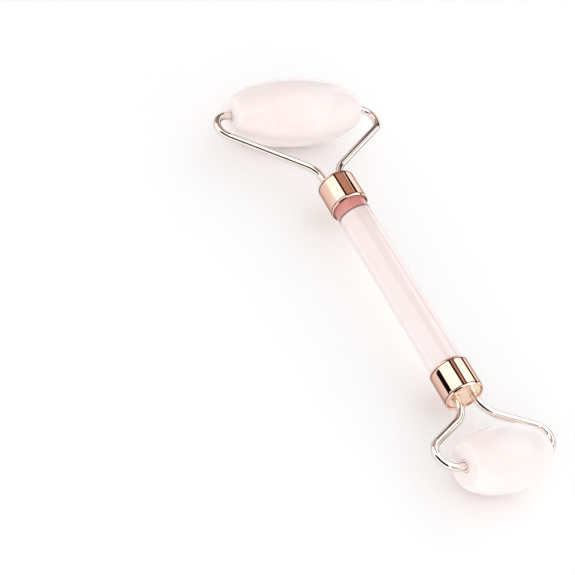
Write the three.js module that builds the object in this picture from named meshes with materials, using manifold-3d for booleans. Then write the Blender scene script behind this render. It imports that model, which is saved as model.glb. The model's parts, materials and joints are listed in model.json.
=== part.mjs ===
// A double-ended face roller: a stone handle with a metal collar on each end.
// Each collar holds a wire fork, and a stone roller turns on the fork's two inward-pointing pins.
// Millimetres. +X runs along the handle towards the small roller, +Y along both roller axes, +Z up.
// The part lies on both rollers. Its origin is under the middle of its bounding box, on the floor.
import * as THREE from "three";
import { mergeVertices } from "three/addons/utils/BufferGeometryUtils.js";
import Module from "manifold-3d";

const wasm = await Module();
wasm.setup();

// Driving dimensions
const HANDLE_RADIUS = 4.78;
const HANDLE_EXPOSED_LENGTH = 59.1;
const HANDLE_EDGE = 0.4;
const COLLAR_LENGTH = 9.7;
const COLLAR_RADIUS = 5.5;
const COLLAR_BORE_RADIUS = 4.87;
const COLLAR_RIM_RADIUS = 0.3;
const HANDLE_SOCKET_DEPTH = 5;
const PLUG_THICKNESS = 2;
const PLUG_RECESS = 0.4;
const WIRE_RADIUS = 1;
const WIRE_TAIL_IN_RESIN = 1.6;
const ARM_OFFSET = 3;
const ARM_BEND_RADIUS = 7.5;
const PIN_DEPTH = 6;
const BUSH_LENGTH = 6.5;
const BUSH_RADIUS = 1.6;
const PIN_CLEARANCE = 0.08;
const FIT_GAP = 0.05;
const END_GAP = 0.5;

// stoneCurve is the power of the barrel outline: 2 is an ellipse, and more is fuller.
// axisDistance runs from the collar's end to the roller's axis, and bendDistance to the fork's first bend.
const LARGE_END = {
  name: "large",
  facing: -1,
  stoneLength: 42,
  stoneRadius: 10.1,
  stoneFaceRadius: 5.15,
  stoneCurve: 2,
  axisDistance: 29.3,
  bendDistance: 5.4,
  hookRadius: 4.6,
  hookOffset: 22.4,
};
const SMALL_END = {
  name: "small",
  facing: 1,
  stoneLength: 24.3,
  stoneRadius: 8.9,
  stoneFaceRadius: 5.7,
  stoneCurve: 2.2,
  axisDistance: 20.4,
  bendDistance: 5,
  hookRadius: 4.5,
  hookOffset: 13.8,
};

// Fineness of the faceted solids
const ROLLER_SIDES = 32;
const ROLLER_BANDS = 18;
const HANDLE_SIDES = 32;
const SMALL_SIDES = 16;
const RIM_STEPS = 3;
const WIRE_SIDES = 10;
const WIRE_STEP = 1.2;

const roseQuartz = new THREE.MeshStandardMaterial({ color: 0xf6dcd8, roughness: 0.12, metalness: 0 });
const roseGold = new THREE.MeshStandardMaterial({ color: 0xdba58c, roughness: 0.12, metalness: 1 });
const nylon = new THREE.MeshStandardMaterial({ color: 0xf4dcd6, roughness: 0.45, metalness: 0 });
const resin = new THREE.MeshStandardMaterial({ color: 0xdb8576, roughness: 0.5, metalness: 0 });

function namedMesh(name, geometry, material) {
  const mesh = new THREE.Mesh(geometry, material);
  mesh.name = name;
  return mesh;
}

// Turns a profile of [radius, distance along the axis] about Y.
// Radii are measured to the middle of each flat.
function turned(profile, sides) {
  const cornerScale = 1 / Math.cos(Math.PI / sides);
  const points = profile.map(([radius, along]) => new THREE.Vector2(radius * cornerScale, along));
  return new THREE.LatheGeometry(points, sides, Math.PI / sides, 2 * Math.PI);
}

// Lays a piece that was turned about Y along X instead.
function layAlongX(mesh) {
  mesh.rotation.z = -Math.PI / 2;
  return mesh;
}

function toManifold(geometry) {
  const bare = geometry.clone();
  bare.deleteAttribute("normal");
  bare.deleteAttribute("uv");
  const merged = mergeVertices(bare);
  const vertProperties = new Float32Array(merged.attributes.position.array);
  const triVerts = new Uint32Array(merged.index.array);
  return new wasm.Manifold(new wasm.Mesh({ numProp: 3, vertProperties, triVerts }));
}

function fromManifold(solid) {
  const mesh = solid.getMesh();
  const geometry = new THREE.BufferGeometry();
  geometry.setAttribute("position", new THREE.BufferAttribute(mesh.vertProperties, 3));
  geometry.setIndex(new THREE.BufferAttribute(mesh.triVerts, 1));
  geometry.computeVertexNormals();
  return geometry;
}

// A quarter circle of profile points about (radius, along), from one angle to another.
function quarterArc(radius, along, arcRadius, fromAngle) {
  return Array.from({ length: RIM_STEPS + 1 }, (_, step) => {
    const angle = fromAngle + ((Math.PI / 2) * step) / RIM_STEPS;
    return [radius + arcRadius * Math.cos(angle), along + arcRadius * Math.sin(angle)];
  });
}

function handleStone() {
  const half = HANDLE_EXPOSED_LENGTH / 2 + HANDLE_SOCKET_DEPTH;
  const profile = [
    [0, -half],
    [HANDLE_RADIUS - HANDLE_EDGE, -half],
    [HANDLE_RADIUS, HANDLE_EDGE - half],
    [HANDLE_RADIUS, half - HANDLE_EDGE],
    [HANDLE_RADIUS - HANDLE_EDGE, half],
    [0, half],
  ];
  return layAlongX(namedMesh("handle_stone", turned(profile, HANDLE_SIDES), roseQuartz));
}

// An open tube with both rims rounded inside and out. Its mouth is at 0 and its fork end at COLLAR_LENGTH.
function collar(name) {
  const rim = COLLAR_RIM_RADIUS;
  const outer = COLLAR_RADIUS - rim;
  const inner = COLLAR_BORE_RADIUS + rim;
  const far = COLLAR_LENGTH - rim;
  const profile = [
    ...quarterArc(inner, rim, rim, Math.PI),
    ...quarterArc(outer, rim, rim, -Math.PI / 2),
    ...quarterArc(outer, far, rim, 0),
    ...quarterArc(inner, far, rim, Math.PI / 2),
  ];
  profile.push(profile[0]);
  return layAlongX(namedMesh(name, turned(profile, HANDLE_SIDES), roseGold));
}

// A disc across the collar from one depth to another, with a hole for each of the fork's two arms.
// The arms' holes start at holeStart, so a disc that begins before it has blind holes.
function drilledDisc(name, start, end, holeStart, material) {
  const discCorner = (COLLAR_BORE_RADIUS - FIT_GAP) / Math.cos(Math.PI / HANDLE_SIDES);
  const disc = new THREE.CylinderGeometry(discCorner, discCorner, end - start, HANDLE_SIDES, 1, false,
    Math.PI / HANDLE_SIDES);
  disc.translate(0, (start + end) / 2, 0);
  const holeCorner = (WIRE_RADIUS + FIT_GAP) / Math.cos(Math.PI / SMALL_SIDES);
  const holeEnd = end + END_GAP;
  let solid = toManifold(disc);
  for (const side of [-1, 1]) {
    const hole = new THREE.CylinderGeometry(holeCorner, holeCorner, holeEnd - holeStart, SMALL_SIDES);
    hole.translate(side * ARM_OFFSET, (holeStart + holeEnd) / 2, 0);
    solid = solid.subtract(toManifold(hole));
  }
  return layAlongX(namedMesh(name, fromManifold(solid), material));
}

// A wire that follows a flat outline in the XY plane, mirrored to either side of the X axis.
class BentWire extends THREE.Curve {
  constructor(outline, side) {
    super();
    this.outline = outline;
    this.side = side;
  }

  getPoint(t, target = new THREE.Vector3()) {
    const point = this.outline.getPoint(t);
    return target.set(point.x, this.side * point.y, 0);
  }
}

// The arm leaves the plug along X, bends outward, runs straight, and hooks back inward to end in a pin.
// Its outline is measured from the collar's mouth.
function armOutline(end) {
  const tailStart = COLLAR_LENGTH - PLUG_RECESS - PLUG_THICKNESS - WIRE_TAIL_IN_RESIN;
  const cornerX = COLLAR_LENGTH + end.bendDistance;
  const axisX = COLLAR_LENGTH + end.axisDistance;
  const hookX = axisX - end.hookRadius;
  const rise = end.hookOffset - ARM_OFFSET;
  const run = Math.hypot(hookX - cornerX, rise);
  const armAngle = Math.atan2(rise, hookX - cornerX) + Math.asin(end.hookRadius / run);
  const bendX = cornerX - ARM_BEND_RADIUS * Math.tan(armAngle / 2);
  const outline = new THREE.Path();
  outline.moveTo(tailStart, ARM_OFFSET);
  outline.lineTo(bendX, ARM_OFFSET);
  const bendY = ARM_OFFSET + ARM_BEND_RADIUS;
  outline.absarc(bendX, bendY, ARM_BEND_RADIUS, -Math.PI / 2, armAngle - Math.PI / 2, false);
  outline.absarc(hookX, end.hookOffset, end.hookRadius, armAngle + Math.PI / 2, 0, true);
  outline.lineTo(axisX, end.stoneLength / 2 - PIN_DEPTH);
  return outline;
}

function forkArm(name, end, side) {
  const outline = armOutline(end);
  const corners = Array.from({ length: WIRE_SIDES }, (_, i) => {
    const angle = (2 * Math.PI * i) / WIRE_SIDES;
    return new THREE.Vector2(WIRE_RADIUS * Math.cos(angle), WIRE_RADIUS * Math.sin(angle));
  });
  const geometry = new THREE.ExtrudeGeometry(new THREE.Shape(corners), {
    steps: Math.ceil(outline.getLength() / WIRE_STEP),
    bevelEnabled: false,
    extrudePath: new BentWire(outline, side),
  });
  return namedMesh(name, geometry, roseGold);
}

// A barrel with a flat face at each end, and in each face a blind hole for a bush.
function rollerStone(end) {
  const half = end.stoneLength / 2;
  const power = end.stoneCurve;
  const faceFraction = end.stoneFaceRadius / end.stoneRadius;
  const reach = half / (1 - faceFraction ** power) ** (1 / power);
  const lastAngle = Math.acos(faceFraction ** (power / 2));
  const holeRadius = BUSH_RADIUS + FIT_GAP;
  const holeBottom = half - BUSH_LENGTH - END_GAP;
  const hole = [
    [0, holeBottom],
    [holeRadius, holeBottom],
    [holeRadius, half],
  ];
  const barrel = Array.from({ length: ROLLER_BANDS + 1 }, (_, band) => {
    const angle = lastAngle * ((2 * band) / ROLLER_BANDS - 1);
    const radius = end.stoneRadius * Math.cos(angle) ** (2 / power);
    const along = reach * Math.sign(angle) * Math.abs(Math.sin(angle)) ** (2 / power);
    return [radius, along];
  });
  const nearHole = hole.map(([radius, along]) => [radius, -along]);
  const profile = [...nearHole, ...barrel, ...hole.toReversed()];
  return namedMesh(`${end.name}_roller_stone`, turned(profile, ROLLER_SIDES), roseQuartz);
}

// A plain sleeve that lines one of the roller's holes, flush with the stone's face.
function rollerBush(name, end, side) {
  const face = end.stoneLength / 2;
  const sleeveBottom = face - BUSH_LENGTH;
  const bore = WIRE_RADIUS + PIN_CLEARANCE;
  const profile = [
    [bore, sleeveBottom],
    [BUSH_RADIUS, sleeveBottom],
    [BUSH_RADIUS, face],
    [bore, face],
    [bore, sleeveBottom],
  ];
  const mesh = namedMesh(name, turned(profile, SMALL_SIDES), nylon);
  mesh.rotation.x = side > 0 ? 0 : Math.PI;
  return mesh;
}

// The roller turns as one: its stone and the bush in each of its holes.
function roller(end) {
  const group = new THREE.Group();
  group.add(rollerStone(end));
  group.add(rollerBush(`${end.name}_roller_bush_left`, end, 1));
  group.add(rollerBush(`${end.name}_roller_bush_right`, end, -1));
  return group;
}

// Everything fixed to one end of the handle, measured from the collar's mouth along its own +X.
function fixedEnd(end) {
  const plugEnd = COLLAR_LENGTH - PLUG_RECESS;
  const plugStart = plugEnd - PLUG_THICKNESS;
  const tailEnd = plugStart - WIRE_TAIL_IN_RESIN - FIT_GAP;
  const resinStart = HANDLE_SOCKET_DEPTH + FIT_GAP;
  const resinEnd = plugStart - FIT_GAP;
  const group = new THREE.Group();
  group.add(collar(`${end.name}_end_collar`));
  group.add(drilledDisc(`${end.name}_end_plug`, plugStart, plugEnd, plugStart - END_GAP, roseGold));
  group.add(drilledDisc(`${end.name}_end_resin`, resinStart, resinEnd, tailEnd, resin));
  for (const side of [-1, 1]) {
    const sideName = side * end.facing > 0 ? "left" : "right";
    group.add(forkArm(`${end.name}_fork_arm_${sideName}`, end, side));
  }
  group.position.x = (end.facing * HANDLE_EXPOSED_LENGTH) / 2;
  group.rotation.z = end.facing > 0 ? 0 : Math.PI;
  return group;
}

function axisX(end) {
  return end.facing * (HANDLE_EXPOSED_LENGTH / 2 + COLLAR_LENGTH + end.axisDistance);
}

// The large roller lifts its end a little higher, so the handle slopes down towards the small roller.
const axleSpacing = axisX(SMALL_END) - axisX(LARGE_END);
const slope = Math.asin((LARGE_END.stoneRadius - SMALL_END.stoneRadius) / axleSpacing);

const faceRoller = new THREE.Group();
faceRoller.add(handleStone());
for (const end of [LARGE_END, SMALL_END]) {
  faceRoller.add(fixedEnd(end));
  const turningEnd = roller(end);
  turningEnd.position.x = axisX(end);
  turningEnd.rotation.y = -slope;
  faceRoller.add(turningEnd);
}
faceRoller.rotation.y = slope;
const lowX = axisX(LARGE_END) * Math.cos(slope) - LARGE_END.stoneRadius;
const highX = axisX(SMALL_END) * Math.cos(slope) + SMALL_END.stoneRadius;
faceRoller.position.x = -(lowX + highX) / 2;
faceRoller.position.z = LARGE_END.stoneRadius + axisX(LARGE_END) * Math.sin(slope);

export default faceRoller;
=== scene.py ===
import json
import math
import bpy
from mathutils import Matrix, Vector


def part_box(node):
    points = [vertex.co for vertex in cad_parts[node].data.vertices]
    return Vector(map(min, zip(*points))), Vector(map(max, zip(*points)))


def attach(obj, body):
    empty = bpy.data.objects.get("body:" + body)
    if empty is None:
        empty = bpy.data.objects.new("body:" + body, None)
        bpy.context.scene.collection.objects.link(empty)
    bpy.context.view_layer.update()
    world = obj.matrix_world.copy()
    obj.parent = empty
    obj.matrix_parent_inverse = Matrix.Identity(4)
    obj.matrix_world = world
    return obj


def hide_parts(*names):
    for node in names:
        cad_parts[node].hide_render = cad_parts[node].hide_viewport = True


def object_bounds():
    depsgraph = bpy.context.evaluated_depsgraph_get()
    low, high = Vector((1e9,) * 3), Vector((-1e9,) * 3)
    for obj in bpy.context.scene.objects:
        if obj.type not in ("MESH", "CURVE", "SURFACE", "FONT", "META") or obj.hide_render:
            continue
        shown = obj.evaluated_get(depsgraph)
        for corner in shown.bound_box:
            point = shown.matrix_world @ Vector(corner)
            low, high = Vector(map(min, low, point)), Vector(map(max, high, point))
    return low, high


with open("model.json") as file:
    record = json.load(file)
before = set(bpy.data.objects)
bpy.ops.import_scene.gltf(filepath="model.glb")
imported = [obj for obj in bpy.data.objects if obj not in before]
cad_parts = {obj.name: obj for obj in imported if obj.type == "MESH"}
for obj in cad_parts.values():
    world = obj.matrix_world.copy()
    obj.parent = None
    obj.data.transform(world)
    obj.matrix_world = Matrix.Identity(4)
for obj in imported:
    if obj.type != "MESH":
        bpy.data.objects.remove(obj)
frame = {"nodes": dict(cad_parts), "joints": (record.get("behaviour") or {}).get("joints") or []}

from types import SimpleNamespace

import bmesh
import bpy
from mathutils import Matrix, Quaternion, Vector

# A double-ended face roller: fine meshes and materials for each CAD piece, and a small pale studio.
# Shapes are built in millimetres in a frame of their own, and a placing matrix puts them in the part's frame,
# which is in metres.

MM = 0.001
CAD_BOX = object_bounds()

# Details that the CAD boxes don't give, in millimetres
WIRE_RADIUS = 1.0
ARM_OFFSET = 3.0
ARM_BEND_RADIUS = 7.5
WIRE_END_CHAMFER = 0.2
PIN_CLEARANCE = 0.08
FIT_GAP = 0.05
END_GAP = 0.5
COLLAR_BORE_RADIUS = 4.87
COLLAR_RIM_RADIUS = 0.31
COLLAR_LIP_WIDTH = 0.64
COLLAR_GROOVE_WIDTH = 0.28
COLLAR_GROOVE_DEPTH = 0.26
# How far past the mouth's inner edge the painted shade reaches
MOUTH_SHADE_WIDTH = 0.12
HANDLE_EDGE_RADIUS = 0.4
RESIN_FILM_RADII = (4.80, 4.85)
RESIN_FILM_START = 0.35
PLUG_EDGE_RADIUS = 0.15
HOLE_COUNTERSINK = 0.12
BUSH_EDGE_RADIUS = 0.08
STONE_HOLE_EDGE = 0.12

# A little painted glow in the resin stands for the light that the clear handle leads in to the resin round
# its ends.
RESIN_PAINTED_GLOW = 0.18

# Fineness of the meshes. Lengths are in millimetres.
STONE_SIDES = 160
STONE_BANDS = 120
ROUND_SIDES = 128
BUSH_SIDES = 64
WIRE_SIDES = 32
LIP_STEPS = 15
WIRE_ARC_STEP = math.radians(4)
ARC_STEP = math.radians(12)
SHARP_ANGLE = math.radians(32)
SUPPORT_DISTANCE = 0.04
SUPPORTED_LENGTH = 4 * SUPPORT_DISTANCE
POLE_RADIUS = 1e-6
WELD_DISTANCE = 0.0005

# FACE_SHARPNESS sets how tightly a stone's flat end turns into its barrel: higher is sharper.
FACE_SHARPNESS = 90

# The two ends, with lengths in millimetres. facing is which way along HANDLE_X the end lies. stone_curve is
# the power in the outline of its stone, where 2 gives an ellipse. bend_distance runs from the collar to the
# corner that a wire's first bend rounds off. hook_offset is how far a hook's centre lies from the handle's
# axis.
ENDS = {
    "large": SimpleNamespace(name="large", facing=-1, stone_curve=2.0, stone_face_radius=5.15,
                             bend_distance=5.4, hook_radius=4.6, hook_offset=22.4),
    "small": SimpleNamespace(name="small", facing=1, stone_curve=2.2, stone_face_radius=5.7,
                             bend_distance=5.0, hook_radius=4.5, hook_offset=13.8),
}


# ---------------------------------------------------------------- where the CAD pieces are

def roller_centre(end):
    joint = next(j for j in frame["joints"] if j["child"] == f"{end.name}_roller")
    return Vector(joint["pos_m"])


HANDLE_X = (roller_centre(ENDS["small"]) - roller_centre(ENDS["large"])).normalized()
HANDLE_Y = Vector((0, 1, 0))


def axes(x_axis, y_axis):
    return Matrix((x_axis, y_axis, x_axis.cross(y_axis))).transposed().to_4x4()


def reach(node, origin, direction):
    """The nearest and farthest a CAD node lies from a point along a direction, in millimetres."""
    along = [(vertex.co - origin).dot(direction) / MM for vertex in frame["nodes"][node].data.vertices]
    return min(along), max(along)


def half_size(node, axis):
    low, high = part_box(node)
    return (high[axis] - low[axis]) / 2 / MM


def end_direction(end):
    return HANDLE_X * end.facing


def collar_mouth(end):
    node = f"{end.name}_end_collar"
    low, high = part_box(node)
    centre = (low + high) / 2
    start, _ = reach(node, centre, end_direction(end))
    return centre + end_direction(end) * start * MM


def end_place(end):
    """Millimetres from the collar's mouth, +X towards the roller, into the part's frame."""
    frame_axes = axes(end_direction(end), HANDLE_Y * end.facing)
    return Matrix.Translation(collar_mouth(end)) @ frame_axes @ Matrix.Scale(MM, 4)


def roller_place(end, side):
    """Millimetres from the roller's middle, +X out along its axis to one side, into the part's frame."""
    frame_axes = axes(HANDLE_Y * side, Vector((-side, 0, 0)))
    return Matrix.Translation(roller_centre(end)) @ frame_axes @ Matrix.Scale(MM, 4)


# ---------------------------------------------------------------- mesh building

def arc(centre, radius, start, sweep):
    """Points of a round edge about (across, along), with both angles in degrees."""
    steps = max(2, math.ceil(abs(math.radians(sweep)) / ARC_STEP))
    angles = [math.radians(start + sweep * step / steps) for step in range(steps + 1)]
    return [(centre[0] + radius * math.cos(a), centre[1] + radius * math.sin(a)) for a in angles]


def supported(profile):
    """Adds a point close to each end of every long straight stretch, so that shading stays flat along it."""
    points = [profile[0]]
    for (r0, a0), (r1, a1) in zip(profile, profile[1:]):
        length = math.hypot(r1 - r0, a1 - a0)
        if length > SUPPORTED_LENGTH:
            share = SUPPORT_DISTANCE / length
            points.append((r0 + (r1 - r0) * share, a0 + (a1 - a0) * share))
            points.append((r1 + (r0 - r1) * share, a1 + (a0 - a1) * share))
        points.append((r1, a1))
    return points


def joined_rings(mesh, rings, closed):
    """Faces between rings of vertices. A ring that is one vertex repeated is a pole."""
    following = rings[1:] + rings[:1] if closed else rings[1:]
    for ring, after in zip(rings, following):
        for i in range(len(ring)):
            j = (i + 1) % len(ring)
            mesh.faces.new(dict.fromkeys((ring[i], ring[j], after[j], after[i])))
    bmesh.ops.recalc_face_normals(mesh, faces=mesh.faces)
    return mesh


def ring_at(mesh, centre, across, up, radius, sides):
    """A ring of vertices, or one vertex repeated where the radius is nothing."""
    if radius < POLE_RADIUS:
        return [mesh.verts.new(centre)] * sides
    turns = [2 * math.pi * i / sides for i in range(sides)]
    return [mesh.verts.new(centre + radius * (math.cos(t) * across + math.sin(t) * up)) for t in turns]


def turned(profile, sides, closed=False):
    """Turns a profile of (radius, distance along X) about X."""
    mesh = bmesh.new()
    across, up = Vector((0, 1, 0)), Vector((0, 0, 1))
    rings = [ring_at(mesh, Vector((along, 0, 0)), across, up, radius, sides) for radius, along in profile]
    return joined_rings(mesh, rings, closed)


def swept(path, sides):
    """Sweeps a round wire along a flat path of (x, y, heading, radius)."""
    mesh = bmesh.new()
    rings = []
    for x, y, heading, radius in path:
        across = Vector((-math.sin(heading), math.cos(heading), 0))
        rings.append(ring_at(mesh, Vector((x, y, 0)), across, Vector((0, 0, 1)), radius, sides))
    return joined_rings(mesh, rings, closed=False)


def as_object(name, mesh):
    """A mesh object whose faces are smooth and whose true corners stay sharp."""
    for face in mesh.faces:
        face.smooth = True
    for edge in mesh.edges:
        edge.smooth = edge.calc_face_angle(0) < SHARP_ANGLE
    data = bpy.data.meshes.new(name)
    mesh.to_mesh(data)
    mesh.free()
    piece = bpy.data.objects.new(name, data)
    bpy.context.scene.collection.objects.link(piece)
    return piece


def cut(piece, cutters):
    """Takes the cutters' shapes out of a piece, and removes the cutters."""
    for cutter in cutters:
        boolean = piece.modifiers.new(cutter.name, "BOOLEAN")
        boolean.operation = "DIFFERENCE"
        boolean.solver = "EXACT"
        boolean.object = cutter
    evaluated = piece.evaluated_get(bpy.context.evaluated_depsgraph_get())
    solid = bmesh.new()
    solid.from_mesh(evaluated.to_mesh())
    evaluated.to_mesh_clear()
    bmesh.ops.remove_doubles(solid, verts=solid.verts, dist=WELD_DISTANCE)
    for old in [piece, *cutters]:
        bpy.data.objects.remove(old)
    return solid


def add_piece(name, mesh, place, materials, body, node):
    """Puts a finished mesh in the part's frame in place of its CAD node."""
    mesh.transform(place)
    if place.determinant() < 0:
        bmesh.ops.reverse_faces(mesh, faces=mesh.faces)
    piece = as_object(name, mesh)
    for material in materials:
        piece.data.materials.append(material)
    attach(piece, body)
    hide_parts(node)


# ---------------------------------------------------------------- material building

# Noise values lie mostly between these two.
NOISE_LOW = 0.3
NOISE_HIGH = 0.7

# Veins: how far noise bends them, in metres, how wide they are as a share of a cell, how strong at most, and
# the scales of the noise that bends them and the noise that fades them, as shares of their own scale
VEIN_BEND = 0.012
VEIN_WIDTH = 0.09
VEIN_STRENGTH = 0.8
VEIN_BEND_SCALE = 0.8
VEIN_FADE_SCALE = 0.9

# Sizes of the patterns, as their repeats in a metre
CLOUD_SCALE = 70
VEIN_SCALE = 75
STONE_POLISH_SCALE = 160
STONE_RIPPLE_SCALE = 420
GOLD_TONE_SCALE = 110
SMUDGE_SCALE = 260
HAIRLINE_SCALE = 5000
NYLON_GRAIN_SCALE = 1500
NYLON_TONE_SCALE = 400
BUBBLE_SCALE = 1400
RESIN_POLISH_SCALE = 500

# Heights of the bumps, in metres
STONE_RIPPLE_HEIGHT = 0.00005
HAIRLINE_HEIGHT = 0.00001
NYLON_GRAIN_HEIGHT = 0.00003
BUBBLE_HEIGHT = 0.00005

QUARTZ_IOR = 1.54
RESIN_IOR = 1.55

# How far light travels inside, in metres
STONE_LIGHT_DEPTH = 0.0011
NYLON_LIGHT_DEPTH = 0.0008


def new_material(name):
    material = bpy.data.materials.new(name)
    material.use_nodes = True
    nodes = material.node_tree.nodes
    return material, nodes, material.node_tree.links, nodes["Principled BSDF"]


def object_coordinates(nodes, links, stretch=(1, 1, 1)):
    coordinates = nodes.new("ShaderNodeTexCoord")
    mapping = nodes.new("ShaderNodeMapping")
    mapping.inputs["Scale"].default_value = stretch
    links.new(coordinates.outputs["Object"], mapping.inputs["Vector"])
    return mapping.outputs["Vector"]


def noise(nodes, links, vector, scale, detail=4.0, roughness=0.55, distortion=0.0):
    texture = nodes.new("ShaderNodeTexNoise")
    texture.inputs["Scale"].default_value = scale
    texture.inputs["Detail"].default_value = detail
    texture.inputs["Roughness"].default_value = roughness
    texture.inputs["Distortion"].default_value = distortion
    links.new(vector, texture.inputs["Vector"])
    return texture.outputs["Fac"]


def ramp(nodes, links, value, stops):
    """Maps a value to colours, given as {position: (r, g, b)}."""
    node = nodes.new("ShaderNodeValToRGB")
    elements = node.color_ramp.elements
    while len(elements) < len(stops):
        elements.new(0.5)
    for element, (position, colour) in zip(elements, sorted(stops.items())):
        element.position = position
        element.color = (*colour, 1)
    links.new(value, node.inputs["Fac"])
    return node.outputs["Color"]


def spread(nodes, links, value, low, high):
    """Maps a noise value to a range."""
    node = nodes.new("ShaderNodeMapRange")
    node.inputs["From Min"].default_value = NOISE_LOW
    node.inputs["From Max"].default_value = NOISE_HIGH
    node.inputs["To Min"].default_value = low
    node.inputs["To Max"].default_value = high
    links.new(value, node.inputs["Value"])
    return node.outputs["Result"]


def mixed(nodes, links, factor, first, second):
    """A blend of two colours, each a tuple or a socket."""
    node = nodes.new("ShaderNodeMix")
    node.data_type = "RGBA"
    colour_sockets = [socket for socket in node.inputs if socket.type == "RGBA"]
    links.new(factor, node.inputs["Factor"])
    for socket, value in zip(colour_sockets, (first, second)):
        if isinstance(value, tuple):
            socket.default_value = (*value, 1)
        else:
            links.new(value, socket)
    return next(socket for socket in node.outputs if socket.type == "RGBA")


def bump(nodes, links, shader, height, strength, distance):
    node = nodes.new("ShaderNodeBump")
    node.inputs["Strength"].default_value = strength
    node.inputs["Distance"].default_value = distance
    links.new(height, node.inputs["Height"])
    links.new(node.outputs["Normal"], shader.inputs["Normal"])


def veins(nodes, links, vector, scale):
    """A mask of thin crack-like lines, bent by noise and fading in and out."""
    bend = nodes.new("ShaderNodeTexNoise")
    bend.inputs["Scale"].default_value = scale * VEIN_BEND_SCALE
    bend.inputs["Detail"].default_value = 3
    links.new(vector, bend.inputs["Vector"])
    shifted = nodes.new("ShaderNodeVectorMath")
    shifted.operation = "MULTIPLY_ADD"
    shifted.inputs[1].default_value = (VEIN_BEND, VEIN_BEND, VEIN_BEND)
    links.new(bend.outputs["Color"], shifted.inputs[0])
    links.new(vector, shifted.inputs[2])
    cells = nodes.new("ShaderNodeTexVoronoi")
    cells.feature = "DISTANCE_TO_EDGE"
    cells.inputs["Scale"].default_value = scale
    links.new(shifted.outputs["Vector"], cells.inputs["Vector"])
    line = nodes.new("ShaderNodeMapRange")
    line.interpolation_type = "SMOOTHSTEP"
    line.inputs["From Min"].default_value = 0.0
    line.inputs["From Max"].default_value = VEIN_WIDTH
    line.inputs["To Min"].default_value = 1.0
    line.inputs["To Max"].default_value = 0.0
    links.new(cells.outputs["Distance"], line.inputs["Value"])
    fading = noise(nodes, links, vector, scale * VEIN_FADE_SCALE, detail=2)
    fade = spread(nodes, links, fading, 0.0, VEIN_STRENGTH)
    strength = nodes.new("ShaderNodeMath")
    strength.operation = "MULTIPLY"
    links.new(line.outputs["Result"], strength.inputs[0])
    links.new(fade, strength.inputs[1])
    return strength.outputs["Value"]


def rose_quartz(name, deep, middle, milky, transmission, subsurface, polish, gloss):
    """Polished translucent pink stone: soft clouds, faint pale veins, and a slightly uneven polish."""
    material, nodes, links, shader = new_material(name)
    vector = object_coordinates(nodes, links)
    clouds = noise(nodes, links, vector, CLOUD_SCALE, detail=5, roughness=0.5, distortion=0.8)
    body_colour = ramp(nodes, links, clouds, {0.32: deep, 0.52: middle, 0.72: milky})
    coloured = mixed(nodes, links, veins(nodes, links, vector, VEIN_SCALE), body_colour, milky)
    links.new(coloured, shader.inputs["Base Color"])
    unevenness = noise(nodes, links, vector, STONE_POLISH_SCALE, detail=3)
    links.new(spread(nodes, links, unevenness, *polish), shader.inputs["Roughness"])
    ripples = noise(nodes, links, vector, STONE_RIPPLE_SCALE, detail=2)
    bump(nodes, links, shader, ripples, strength=0.05, distance=STONE_RIPPLE_HEIGHT)
    shader.inputs["IOR"].default_value = QUARTZ_IOR
    shader.inputs["Specular IOR Level"].default_value = gloss
    shader.inputs["Transmission Weight"].default_value = transmission
    shader.inputs["Subsurface Weight"].default_value = subsurface
    shader.inputs["Subsurface Radius"].default_value = (1.0, 0.9, 0.88)
    shader.inputs["Subsurface Scale"].default_value = STONE_LIGHT_DEPTH
    return material


def rose_gold(name, bright, deep, polished, smudged, edge_tint=(1, 1, 1), metallic=1.0):
    """Rose-gold plate: faint colour drift, finger smudges and hairline marks along X.

    The roughness runs from polished to smudged. The edge tint darkens what the metal reflects at a low angle.
    """
    material, nodes, links, shader = new_material(name)
    vector = object_coordinates(nodes, links)
    drift = noise(nodes, links, vector, GOLD_TONE_SCALE, detail=4)
    links.new(ramp(nodes, links, drift, {0.35: deep, 0.65: bright}), shader.inputs["Base Color"])
    smudges = noise(nodes, links, vector, SMUDGE_SCALE, detail=5, roughness=0.6, distortion=0.5)
    links.new(spread(nodes, links, smudges, polished, smudged), shader.inputs["Roughness"])
    lengthwise = object_coordinates(nodes, links, stretch=(0.15, 1, 1))
    hairlines = noise(nodes, links, lengthwise, HAIRLINE_SCALE, detail=2)
    bump(nodes, links, shader, hairlines, strength=0.04, distance=HAIRLINE_HEIGHT)
    shader.inputs["Metallic"].default_value = metallic
    shader.inputs["Specular Tint"].default_value = (*edge_tint, 1)
    return material


def nylon(name):
    """Natural nylon: milky, slightly translucent, with a faint moulded grain."""
    material, nodes, links, shader = new_material(name)
    vector = object_coordinates(nodes, links)
    grain = noise(nodes, links, vector, NYLON_GRAIN_SCALE, detail=3)
    clouding = noise(nodes, links, vector, NYLON_TONE_SCALE, detail=3)
    tint = ramp(nodes, links, clouding, {0.35: (0.94, 0.73, 0.70), 0.65: (0.96, 0.79, 0.76)})
    links.new(tint, shader.inputs["Base Color"])
    links.new(spread(nodes, links, grain, low=0.32, high=0.5), shader.inputs["Roughness"])
    bump(nodes, links, shader, grain, strength=0.1, distance=NYLON_GRAIN_HEIGHT)
    shader.inputs["Subsurface Weight"].default_value = 0.4
    shader.inputs["Subsurface Scale"].default_value = NYLON_LIGHT_DEPTH
    return material


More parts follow.
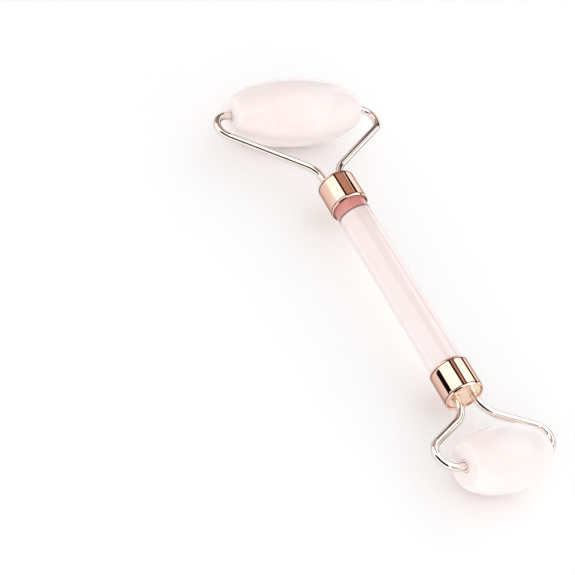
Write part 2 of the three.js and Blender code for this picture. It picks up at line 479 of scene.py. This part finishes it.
def bonding_resin(name):
    """Set coral-tinted epoxy with small trapped bubbles, and a faint painted glow for the light led in
    through the handle.
    """
    material, nodes, links, shader = new_material(name)
    vector = object_coordinates(nodes, links)
    bubbles = nodes.new("ShaderNodeTexVoronoi")
    bubbles.inputs["Scale"].default_value = BUBBLE_SCALE
    links.new(vector, bubbles.inputs["Vector"])
    tint = ramp(nodes, links, bubbles.outputs["Distance"],
                {0.05: (0.99, 0.52, 0.45), 0.18: (0.98, 0.42, 0.36), 0.9: (0.97, 0.37, 0.30)})
    links.new(tint, shader.inputs["Base Color"])
    unevenness = noise(nodes, links, vector, RESIN_POLISH_SCALE)
    links.new(spread(nodes, links, unevenness, low=0.12, high=0.3), shader.inputs["Roughness"])
    bump(nodes, links, shader, bubbles.outputs["Distance"], strength=0.15, distance=BUBBLE_HEIGHT)
    shader.inputs["IOR"].default_value = RESIN_IOR
    # Painted glow: the light that the handle leads in, given as emission
    shader.inputs["Emission Color"].default_value = (1.0, 0.45, 0.38, 1)
    shader.inputs["Emission Strength"].default_value = RESIN_PAINTED_GLOW
    return material


# ---------------------------------------------------------------- the handle

def handle_rod():
    middle = (roller_centre(ENDS["large"]) + roller_centre(ENDS["small"])) / 2
    low, high = reach("handle_stone", middle, HANDLE_X)
    radius = half_size("handle_stone", 1)
    edge = HANDLE_EDGE_RADIUS
    profile = [(0, low)]
    profile += arc((radius - edge, low + edge), edge, -90, 90)
    profile += arc((radius - edge, high - edge), edge, 0, 90)
    profile += [(0, high)]
    place = Matrix.Translation(middle) @ axes(HANDLE_X, HANDLE_Y) @ Matrix.Scale(MM, 4)
    return turned(supported(profile), ROUND_SIDES), place


# ---------------------------------------------------------------- one end: collar, plug, resin and fork

def collar_tube(end):
    """An open tube with rounded rims, and a fine turned groove that sets off a lip at each end.

    The grooves, the mouth's inner edge and the bore as far as the middle take the second material: a rough,
    near-black gold. Its roughness is a finish, but its darkness is painted shade.
    """
    start, far = reach(f"{end.name}_end_collar", collar_mouth(end), end_direction(end))
    radius = half_size(f"{end.name}_end_collar", 1)
    rim = COLLAR_RIM_RADIUS
    inner = COLLAR_BORE_RADIUS + rim
    lip_angles = [math.radians(90 * step / LIP_STEPS) for step in range(LIP_STEPS + 1)]
    lip = [(radius - rim + rim * math.sin(a), COLLAR_LIP_WIDTH - COLLAR_LIP_WIDTH * math.cos(a))
           for a in lip_angles]
    groove = [(radius - COLLAR_GROOVE_DEPTH, COLLAR_LIP_WIDTH + COLLAR_GROOVE_WIDTH / 2),
              (radius, COLLAR_LIP_WIDTH + COLLAR_GROOVE_WIDTH)]
    profile = arc((inner, start + rim), rim, 180, 90)
    profile += [(r, start + along) for r, along in lip + groove]
    profile += [(r, far - along) for r, along in (lip + groove)[::-1]]
    profile += arc((inner, far - rim), rim, 90, 90)
    profile.append(profile[0])
    tube = turned(supported(profile)[:-1], ROUND_SIDES, closed=True)
    # Faces in the grooves and inside the mouth take the second material, which paints shade there.
    for face in tube.faces:
        along, y, z = face.calc_center_median()
        from_end = min(along - start, far - along)
        in_groove = COLLAR_LIP_WIDTH < from_end < COLLAR_LIP_WIDTH + COLLAR_GROOVE_WIDTH
        inside_mouth = math.hypot(y, z) < inner + MOUTH_SHADE_WIDTH and along < (start + far) / 2
        face.material_index = int(in_groove or inside_mouth)
    return tube


def plug_profile(start, far):
    """A disc across the collar with round edges."""
    radius = COLLAR_BORE_RADIUS - FIT_GAP
    edge = PLUG_EDGE_RADIUS
    rounded = arc((radius - edge, start + edge), edge, -90, 90)
    rounded += arc((radius - edge, far - edge), edge, 0, 90)
    return [(0, start), *rounded, (0, far)]


def resin_profile(start, far):
    """A disc across the collar, with the film of resin that fills the gap round the rod's end."""
    inner, outer = RESIN_FILM_RADII
    film = [(inner, start), (inner, RESIN_FILM_START), (outer, RESIN_FILM_START), (outer, far)]
    return [(0, start), *film, (0, far)]


def drilled_disc(end, node, profile_between, hole_reach):
    """A turned piece with a countersunk hole for each arm, from hole_reach outward."""
    start, far = reach(node, collar_mouth(end), end_direction(end))
    disc = as_object(node, turned(supported(profile_between(start, far)), ROUND_SIDES))
    hole_radius = WIRE_RADIUS + FIT_GAP
    flare = HOLE_COUNTERSINK
    hole = [(0, hole_reach), (hole_radius, hole_reach), (hole_radius, far - flare),
            (hole_radius + 2 * flare, far + flare), (0, far + flare)]
    cutters = []
    for side in (-1, 1):
        drill = turned(hole, BUSH_SIDES)
        drill.transform(Matrix.Translation((0, side * ARM_OFFSET, 0)))
        cutters.append(as_object(f"{node}_drill_{side}", drill))
    return cut(disc, cutters)


def arm_path(end, tail, axis_distance, tip):
    """The wire's centre line: a tail along X, a bend outward, a straight arm, a hook, and the pin.

    Distances are in millimetres from the collar's mouth, and each point has its heading.
    """
    collar_end = reach(f"{end.name}_end_collar", collar_mouth(end), end_direction(end))[1]
    corner_x = collar_end + end.bend_distance
    hook_x = axis_distance - end.hook_radius
    rise = end.hook_offset - ARM_OFFSET
    run = math.hypot(hook_x - corner_x, rise)
    slant = math.atan2(rise, hook_x - corner_x) + math.asin(end.hook_radius / run)
    bend_x = corner_x - ARM_BEND_RADIUS * math.tan(slant / 2)
    path = [(tail, ARM_OFFSET, 0), (tail + WIRE_END_CHAMFER, ARM_OFFSET, 0)]
    bend_steps = math.ceil(slant / WIRE_ARC_STEP)
    for step in range(bend_steps + 1):
        heading = slant * step / bend_steps
        path.append((bend_x + ARM_BEND_RADIUS * math.sin(heading),
                     ARM_OFFSET + ARM_BEND_RADIUS * (1 - math.cos(heading)), heading))
    hook_sweep = slant + math.pi / 2
    hook_steps = math.ceil(hook_sweep / WIRE_ARC_STEP)
    for step in range(hook_steps + 1):
        heading = slant - hook_sweep * step / hook_steps
        path.append((hook_x - end.hook_radius * math.sin(heading),
                     end.hook_offset + end.hook_radius * math.cos(heading), heading))
    path.append((axis_distance, tip + WIRE_END_CHAMFER, -math.pi / 2))
    path.append((axis_distance, tip, -math.pi / 2))
    return path


def fork_arm(end, side):
    side_name = "left" if side * end.facing > 0 else "right"
    node = f"{end.name}_fork_arm_{side_name}"
    mouth = collar_mouth(end)
    tail = reach(node, mouth, end_direction(end))[0]
    axis_distance = (roller_centre(end) - mouth).dot(end_direction(end)) / MM
    tip = reach(node, roller_centre(end), HANDLE_Y * side * end.facing)[0]
    path = arm_path(end, tail, axis_distance, tip)
    ends = {0: WIRE_RADIUS - WIRE_END_CHAMFER, len(path) - 1: WIRE_RADIUS - WIRE_END_CHAMFER}
    wire = [(*point, ends.get(i, WIRE_RADIUS)) for i, point in enumerate(path)]
    wire.insert(0, (*path[0], 0))
    wire.append((*path[-1], 0))
    mesh = swept(wire, WIRE_SIDES)
    mesh.transform(Matrix.Diagonal((1, side, 1, 1)))
    if side < 0:
        bmesh.ops.reverse_faces(mesh, faces=mesh.faces)
    return node, mesh


# ---------------------------------------------------------------- one roller: stone and bushes

def barrel_outline(end, half, radius, hole_radius):
    """One side of the barrel from its middle to the edge of its hole, with the flat face softly turned in."""
    power = end.stone_curve
    barrel_reach = half / (1 - (end.stone_face_radius / radius) ** power) ** (1 / power)
    last_angle = math.acos((hole_radius / radius) ** (power / 2))
    outline = []
    for band in range(STONE_BANDS // 2 + 1):
        angle = last_angle * 2 * band / STONE_BANDS
        barrel = barrel_reach * math.sin(angle) ** (2 / power)
        softened = barrel / (1 + (barrel / half) ** FACE_SHARPNESS) ** (1 / FACE_SHARPNESS)
        outline.append((radius * math.cos(angle) ** (2 / power), softened))
    return outline


def roller_stone(end):
    node = f"{end.name}_roller_stone"
    half = half_size(node, 1)
    radius = half_size(node, 2)
    bush = f"{end.name}_roller_bush_left"
    hole_bottom = reach(bush, roller_centre(end), HANDLE_Y)[0] - END_GAP
    hole_radius = half_size(bush, 2) + FIT_GAP
    outline = barrel_outline(end, half, radius, hole_radius + STONE_HOLE_EDGE)
    hole_top = outline[-1][1] - STONE_HOLE_EDGE
    hole = supported([(0, hole_bottom), (hole_radius, hole_bottom), (hole_radius, hole_top)])
    half_profile = hole + outline[::-1]
    profile = [(r, -along) for r, along in half_profile]
    profile += half_profile[::-1][1:]
    return turned(profile, STONE_SIDES)


def roller_bush(end, side, node):
    bottom, face = reach(node, roller_centre(end), HANDLE_Y * side)
    radius = half_size(node, 2)
    bore = WIRE_RADIUS + PIN_CLEARANCE
    edge = BUSH_EDGE_RADIUS
    profile = [(bore, bottom), (radius, bottom)]
    profile += arc((radius - edge, face - edge), edge, 0, 90)
    profile += arc((bore + edge, face - edge), edge, 90, 90)
    profile.append(profile[0])
    return turned(supported(profile)[:-1], BUSH_SIDES, closed=True)


# ---------------------------------------------------------------- put the object together

roller_quartz = rose_quartz(
    "roller_rose_quartz", deep=(0.98, 0.805, 0.79), middle=(0.985, 0.835, 0.82), milky=(0.99, 0.865, 0.855),
    transmission=0.1, subsurface=0.85, polish=(0.08, 0.16), gloss=0.25)
handle_quartz = rose_quartz(
    "handle_rose_quartz", deep=(0.965, 0.835, 0.825), middle=(0.97, 0.865, 0.855), milky=(0.98, 0.90, 0.89),
    transmission=0.92, subsurface=0.7, polish=(0.01, 0.03), gloss=0.5)
collar_gold = rose_gold(
    "collar_rose_gold", bright=(0.93, 0.67, 0.56), deep=(0.90, 0.61, 0.50), polished=0.02, smudged=0.06,
    edge_tint=(0.45, 0.34, 0.30))
# Rough, near-black gold that paints shade into the collars' grooves and mouths
groove_shade_gold = rose_gold(
    "unpolished_rose_gold", bright=(0.17, 0.11, 0.09), deep=(0.10, 0.06, 0.05), polished=0.35, smudged=0.55)
plug_gold = rose_gold(
    "plug_rose_gold", bright=(0.99, 0.79, 0.62), deep=(0.98, 0.73, 0.55), polished=0.18, smudged=0.30,
    metallic=0.6)
wire_gold = rose_gold(
    "wire_rose_gold", bright=(0.97, 0.90, 0.85), deep=(0.95, 0.86, 0.79), polished=0.02, smudged=0.06,
    edge_tint=(0.12, 0.10, 0.09))
bush_nylon = nylon("bush_nylon")
resin = bonding_resin("bonding_resin")


def add_fixed_end(end):
    """The collar, plug, wires and resin of one end, which are all bonded to the handle."""
    name = end.name
    place = end_place(end)
    add_piece(f"{name}_collar_tube", collar_tube(end), place, [collar_gold, groove_shade_gold],
              "handle", f"{name}_end_collar")
    plug_start = reach(f"{name}_end_plug", collar_mouth(end), end_direction(end))[0]
    plug = drilled_disc(end, f"{name}_end_plug", plug_profile, plug_start - END_GAP)
    add_piece(f"{name}_plug_disc", plug, place, [plug_gold], "handle", f"{name}_end_plug")
    for side in (-1, 1):
        node, arm = fork_arm(end, side)
        add_piece(node.replace("fork_arm", "fork_wire"), arm, place, [wire_gold], "handle", node)
    tail_end = reach(f"{name}_fork_arm_left", collar_mouth(end), end_direction(end))[0] - FIT_GAP
    fill = drilled_disc(end, f"{name}_end_resin", resin_profile, tail_end)
    add_piece(f"{name}_resin_fill", fill, place, [resin], "handle", f"{name}_end_resin")


def add_roller(end):
    """The stone of one end and the bush in each of its holes, which turn together."""
    name = end.name
    body = f"{name}_roller"
    add_piece(f"{name}_barrel_stone", roller_stone(end), roller_place(end, 1), [roller_quartz],
              body, f"{name}_roller_stone")
    for side, side_name in ((1, "left"), (-1, "right")):
        node = f"{name}_roller_bush_{side_name}"
        add_piece(f"{name}_bush_{side_name}", roller_bush(end, side, node), roller_place(end, side),
                  [bush_nylon], body, node)


rod, rod_place = handle_rod()
add_piece("handle_rod", rod, rod_place, [handle_quartz], "handle", "handle_stone")
for end in ENDS.values():
    add_fixed_end(end)
    add_roller(end)


# ---------------------------------------------------------------- the studio

# The floor's side in metres, the two greys that it drifts between, and the drift's repeats in a metre
FLOOR_SIZE = 6.0
FLOOR_GREYS = (0.93, 0.95)
FLOOR_TONE_SCALE = 3

# The white tent's brightness: at its walls and its roof as it lights the object, as shiny surfaces mirror it,
# as it is seen through the clear stone, and as it lights the stone's inside. The walls fade into the roof up
# to TENT_ROOF_START, which is a height on a sphere of radius 1.
TENT_WALL_STRENGTH = 1.9
TENT_ROOF_STRENGTH = 0.82
TENT_ROOF_START = 0.6
TENT_SHINE = 1.55
TENT_THROUGH_STONE = 0.93
TENT_INSIDE_STONE = 1.8
LIGHT_BOUNCES = 24

# Softboxes: direction from the origin, distance and size in metres, power in watts
SOFTBOXES = {
    "overhead_softbox": (Vector((0.12, 0.42, 0.89)), 0.6, 0.8, 0.3),
    "front_fill": (Vector((0.65, -0.60, 0.33)), 1.2, 1.0, 2.9),
    "back_fill": (Vector((-0.50, 0.75, 0.30)), 1.2, 1.0, 2.0),
}

# The overhead softbox as shiny surfaces mirror it: distance and size in metres, brightness in the middle, and
# the share of the way in from its edge at which it is full
HIGHLIGHT_DISTANCE = 0.61
HIGHLIGHT_SIZE = 0.8
HIGHLIGHT_STRENGTH = 2.6
HIGHLIGHT_FADE = 0.6

# A ray that the camera sends to a collar runs on this far along X for each millimetre away from the handle's
# axis. Each long card is carried on past both collars by this share of their distance apart.
REFLECTION_RUN = {"large": -0.68, "small": -0.51}
CARD_OVERHANG = 0.5

# Long cards over the handle: the angles that each covers round the handle's axis, in degrees from +Y through
# +Z, as seen from the large collar and from the small one, then its distance in millimetres and its colour
BLACK = (0.005, 0.004, 0.004)
LONG_CARDS = {
    "far_black_strip": ((37, 53), (13, 30), 420, BLACK),
    "pale_copper_strip": ((50, 65), (79, 80), 410, (0.80, 0.55, 0.45)),
    "brown_flag": ((64, 109), (82, 104), 400, (0.52, 0.32, 0.24)),
    "overhead_black_edge": ((108, 119), (99, 110), 390, BLACK),
    "far_brown_edge": ((61, 64), (79, 87), 390, BLACK),
}

# Side cards: the spans of azimuth (from -Y towards +X) and of elevation, in degrees, then distance in
# millimetres and colour
SIDE_CARDS = {
    "camera_side_black_card": ((-16, 64), (5, 54), 450, BLACK),
    "right_grey_card": ((74, 112), (1, 60), 450, (0.55, 0.55, 0.55)),
    "left_brown_card": ((-104, -64), (1, 42), 450, (0.34, 0.24, 0.20)),
    "left_dark_card": ((-134, -106), (6, 44), 560, (0.16, 0.11, 0.095)),
    "back_black_card": ((-200, -157), (24, 38), 560, BLACK),
    "back_white_card": ((-166, -139), (-1, 11), 430, (TENT_SHINE,) * 3),
}

# A black flag that stands on the floor, close to the small collar on the camera's side: its angles round the
# handle's axis, then its distance from the axis and its margin from each end of the collar, in millimetres
NEAR_FLAG_SPAN = (172, 199)
NEAR_FLAG_DISTANCE = 28
NEAR_FLAG_MARGIN = 1.1

# The camera looks at a point beside the model's middle, and sees nothing nearer than CAMERA_NEAREST. Lengths
# are in millimetres and angles in degrees.
AIM_OFFSET = Vector((1.4, -33.6, -0.6))
CAMERA_DISTANCE = 474.5
CAMERA_AZIMUTH = 45.6
CAMERA_ELEVATION = 41.03
CAMERA_ROLL = 26.4
CAMERA_LENS = 113.2
CAMERA_NEAREST = 10


def add_floor():
    material, nodes, links, shader = new_material("studio_floor")
    vector = object_coordinates(nodes, links)
    drift = noise(nodes, links, vector, FLOOR_TONE_SCALE, detail=2)
    dark, light = FLOOR_GREYS
    tone = ramp(nodes, links, drift, {NOISE_LOW: (dark,) * 3, NOISE_HIGH: (light,) * 3})
    links.new(tone, shader.inputs["Base Color"])
    shader.inputs["Roughness"].default_value = 0.7
    shader.inputs["Specular IOR Level"].default_value = 0.2
    bpy.ops.mesh.primitive_plane_add(size=FLOOR_SIZE, location=(0, 0, 0))
    floor = bpy.context.object
    floor.name = "studio_floor"
    floor.data.materials.append(material)


def switched(nodes, links, switch, off, on):
    """One of two values, each a number or a socket: the first where the switch is 0, the second from 1 up."""
    node = nodes.new("ShaderNodeMapRange")
    links.new(switch, node.inputs["Value"])
    for socket, value in ((node.inputs["To Min"], off), (node.inputs["To Max"], on)):
        if isinstance(value, float):
            socket.default_value = value
        else:
            links.new(value, socket)
    return node.outputs["Result"]


def add_world():
    world = bpy.data.worlds.new("studio_world")
    world.use_nodes = True
    nodes, links = world.node_tree.nodes, world.node_tree.links
    height = nodes.new("ShaderNodeSeparateXYZ")
    links.new(nodes.new("ShaderNodeTexCoord").outputs["Generated"], height.inputs["Vector"])
    fabric = nodes.new("ShaderNodeMapRange")
    fabric.interpolation_type = "SMOOTHSTEP"
    fabric.inputs["From Max"].default_value = TENT_ROOF_START
    fabric.inputs["To Min"].default_value = TENT_WALL_STRENGTH
    fabric.inputs["To Max"].default_value = TENT_ROOF_STRENGTH
    links.new(height.outputs["Z"], fabric.inputs["Value"])
    light_path = nodes.new("ShaderNodeLightPath").outputs
    outside = switched(nodes, links, light_path["Is Glossy Ray"], fabric.outputs["Result"], TENT_SHINE)
    inside = switched(nodes, links, light_path["Diffuse Depth"], TENT_THROUGH_STONE, TENT_INSIDE_STONE)
    strength = switched(nodes, links, light_path["Is Transmission Ray"], outside, inside)
    links.new(strength, nodes["Background"].inputs["Strength"])
    nodes["Background"].inputs["Color"].default_value = (1, 1, 1, 1)
    bpy.context.scene.world = world


def turned_to(direction, distance):
    """The place of something at a distance from the origin, whose own +Z points away from it."""
    return Matrix.Translation(direction * distance) @ direction.to_track_quat("Z", "Y").to_matrix().to_4x4()


def add_softbox(name, direction, distance, size, power):
    light = bpy.data.lights.new(name, "AREA")
    light.shape = "SQUARE"
    light.size = size
    light.energy = power
    lamp = bpy.data.objects.new(name, light)
    lamp.matrix_world = turned_to(direction.normalized(), distance)
    lamp.visible_camera = False
    lamp.visible_glossy = False
    lamp.visible_transmission = False
    bpy.context.scene.collection.objects.link(lamp)


def glowing(name, colour):
    """A plain light-giving material, with its nodes, links and Emission node for further work."""
    material = bpy.data.materials.new(name)
    material.use_nodes = True
    nodes, links = material.node_tree.nodes, material.node_tree.links
    nodes.clear()
    glow = nodes.new("ShaderNodeEmission")
    glow.inputs["Color"].default_value = (*colour, 1)
    links.new(glow.outputs["Emission"], nodes.new("ShaderNodeOutputMaterial").inputs["Surface"])
    return material, nodes, links, glow


def add_reflection_card(name, corners, material):
    """A flat card that only shiny surfaces see. It casts no shadow and adds no light of its own."""
    data = bpy.data.meshes.new(name)
    data.from_pydata(corners, [], [(0, 1, 2, 3)])
    data.materials.append(material)
    card = bpy.data.objects.new(name, data)
    bpy.context.scene.collection.objects.link(card)
    for ray in ("camera", "diffuse", "transmission", "volume_scatter", "shadow"):
        setattr(card, f"visible_{ray}", False)
    return card


def long_card_corners(large_span, small_span, distance):
    """Corners of a card that covers one span of angles as seen from each collar, carried on past both."""
    edges = []
    for end_name, span in (("large", large_span), ("small", small_span)):
        low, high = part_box(f"{end_name}_end_collar")
        seen_from = (low + high) / 2 + Vector((REFLECTION_RUN[end_name], 0, 0)) * distance * MM
        directions = [Vector((0, math.cos(math.radians(a)), math.sin(math.radians(a)))) for a in span]
        edges.append([seen_from + direction * distance * MM for direction in directions])
    (large_a, large_b), (small_a, small_b) = edges
    over_a, over_b = (small_a - large_a) * CARD_OVERHANG, (small_b - large_b) * CARD_OVERHANG
    return [large_a - over_a, small_a + over_a, small_b + over_b, large_b - over_b]


def near_flag_corners(end_name, span, distance, margin):
    """Corners of a small card that a collar mirrors in one span of angles round its axis."""
    low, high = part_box(f"{end_name}_end_collar")
    middle = (low + high) / 2
    half_length = (high.x - low.x) / 2 - margin * MM
    run = REFLECTION_RUN[end_name] * (distance - half_size(f"{end_name}_end_collar", 1))
    corners = []
    for angle, along in ((span[0], -half_length), (span[0], half_length), (span[1], half_length),
                         (span[1], -half_length)):
        across = Vector((0, math.cos(math.radians(angle)), math.sin(math.radians(angle)))) * distance * MM
        corners.append(middle + Vector((run * MM + along, 0, 0)) + across)
    return corners


def compass(azimuth, elevation):
    """A direction from angles in degrees: azimuth from -Y towards +X, and elevation from level."""
    azimuth, elevation = math.radians(azimuth), math.radians(elevation)
    return Vector((math.sin(azimuth) * math.cos(elevation), -math.cos(azimuth) * math.cos(elevation),
                   math.sin(elevation)))


def side_card_corners(azimuths, elevations, distance):
    (left, right), (low, high) = azimuths, elevations
    return [compass(azimuth, elevation) * distance * MM
            for azimuth, elevation in ((left, low), (right, low), (right, high), (left, high))]


def add_highlight_card(direction):
    """The overhead softbox as shiny surfaces mirror it. It fades to the tent's brightness at its edge."""
    material, nodes, links, glow = glowing("soft_edged_glow", (1, 1, 1))
    disc = nodes.new("ShaderNodeTexGradient")
    disc.gradient_type = "SPHERICAL"
    links.new(object_coordinates(nodes, links, (2 / HIGHLIGHT_SIZE,) * 3), disc.inputs["Vector"])
    brightness = nodes.new("ShaderNodeMapRange")
    brightness.interpolation_type = "SMOOTHSTEP"
    brightness.inputs["From Max"].default_value = HIGHLIGHT_FADE
    brightness.inputs["To Min"].default_value = TENT_SHINE
    brightness.inputs["To Max"].default_value = HIGHLIGHT_STRENGTH
    links.new(disc.outputs["Fac"], brightness.inputs["Value"])
    links.new(brightness.outputs["Result"], glow.inputs["Strength"])
    half = HIGHLIGHT_SIZE / 2
    corners = [(-half, -half, 0), (half, -half, 0), (half, half, 0), (-half, half, 0)]
    card = add_reflection_card("overhead_highlight_card", corners, material)
    card.matrix_world = turned_to(direction.normalized(), HIGHLIGHT_DISTANCE)


def add_camera():
    low, high = CAD_BOX
    aim = (low + high) / 2 + AIM_OFFSET * MM
    back = compass(CAMERA_AZIMUTH, CAMERA_ELEVATION)
    level = back.to_track_quat("Z", "Y")
    camera = bpy.data.objects.new("camera", bpy.data.cameras.new("camera"))
    camera.data.lens = CAMERA_LENS
    camera.data.clip_start = CAMERA_NEAREST * MM
    camera.location = aim + back * CAMERA_DISTANCE * MM
    camera.rotation_mode = "QUATERNION"
    camera.rotation_quaternion = level @ Quaternion((0, 0, 1), math.radians(CAMERA_ROLL))
    bpy.context.scene.collection.objects.link(camera)
    bpy.context.scene.camera = camera


add_floor()
add_world()
for light_name, (direction, distance, size, power) in SOFTBOXES.items():
    add_softbox(light_name, direction, distance, size, power)
add_highlight_card(SOFTBOXES["overhead_softbox"][0])
for card_name, (large_span, small_span, distance, colour) in LONG_CARDS.items():
    corners = long_card_corners(large_span, small_span, distance)
    add_reflection_card(card_name, corners, glowing(card_name, colour)[0])
for card_name, (azimuths, elevations, distance, colour) in SIDE_CARDS.items():
    corners = side_card_corners(azimuths, elevations, distance)
    add_reflection_card(card_name, corners, glowing(card_name, colour)[0])
near_corners = near_flag_corners("small", NEAR_FLAG_SPAN, NEAR_FLAG_DISTANCE, NEAR_FLAG_MARGIN)
add_reflection_card("near_black_flag", near_corners, glowing("near_black_flag", BLACK)[0])
add_camera()
scene = bpy.context.scene
scene.view_settings.view_transform = "Standard"
scene.cycles.max_bounces = LIGHT_BOUNCES
scene.cycles.glossy_bounces = LIGHT_BOUNCES
scene.cycles.transmission_bounces = LIGHT_BOUNCES
